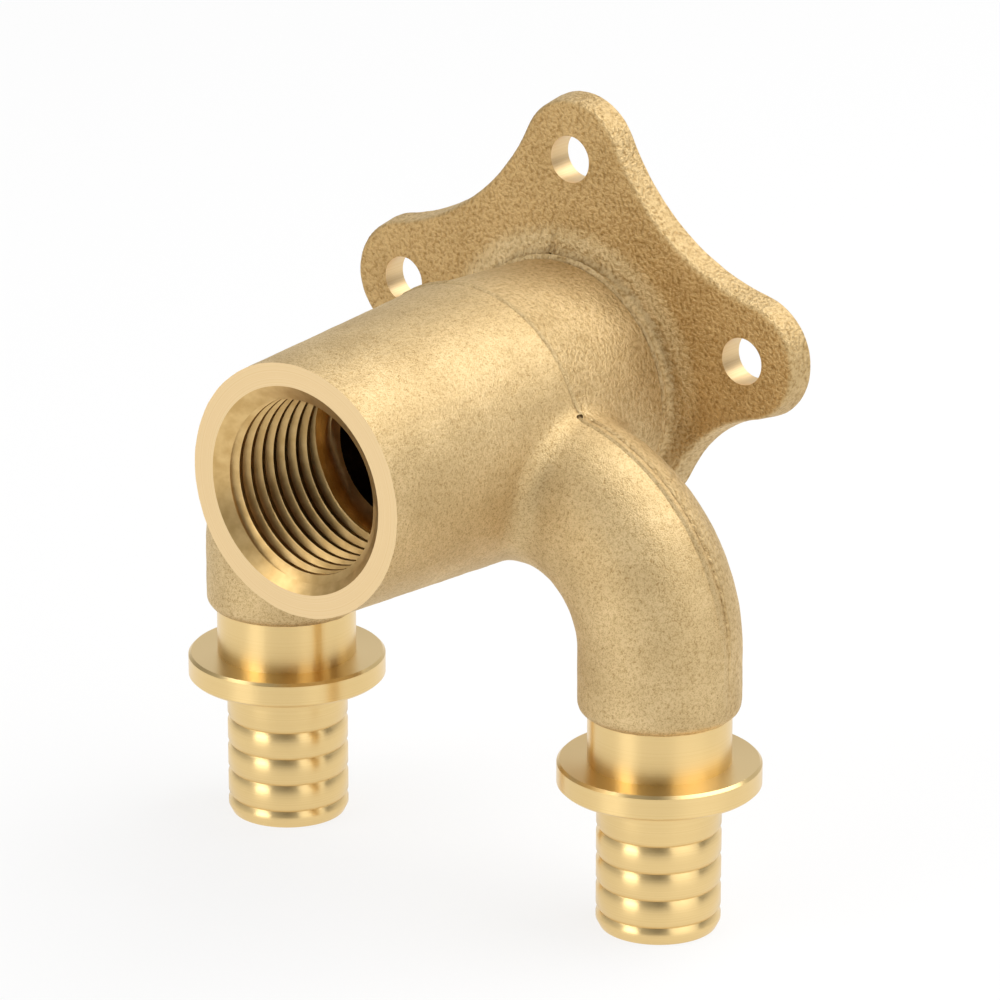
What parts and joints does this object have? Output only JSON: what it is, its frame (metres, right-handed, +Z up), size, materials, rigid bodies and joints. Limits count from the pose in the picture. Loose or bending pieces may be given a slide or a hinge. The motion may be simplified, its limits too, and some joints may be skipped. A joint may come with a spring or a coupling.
{
  "type": "wall plate elbow",
  "caption": "Cast brass wall plate elbow: an eared plate carries a threaded port, and two legs bend down from its body to ribbed pipe tails, so that water flows through.",
  "frame": {"origin": "on the port's axis, in the plane of the wall that the plate is screwed to", "axes": "+Z up, +Y into the wall, the port faces -Y and the pipe tails point down"},
  "size_m": [0.0738, 0.049, 0.0831],
  "materials": {
    "cast_brass": "sand-cast skin, turned bright at the port, the neck, the collar and the pipe tails"
  },
  "bodies": {
    "root": {"wall_plate_elbow": "cast_brass"}
  },
  "joints": []
}
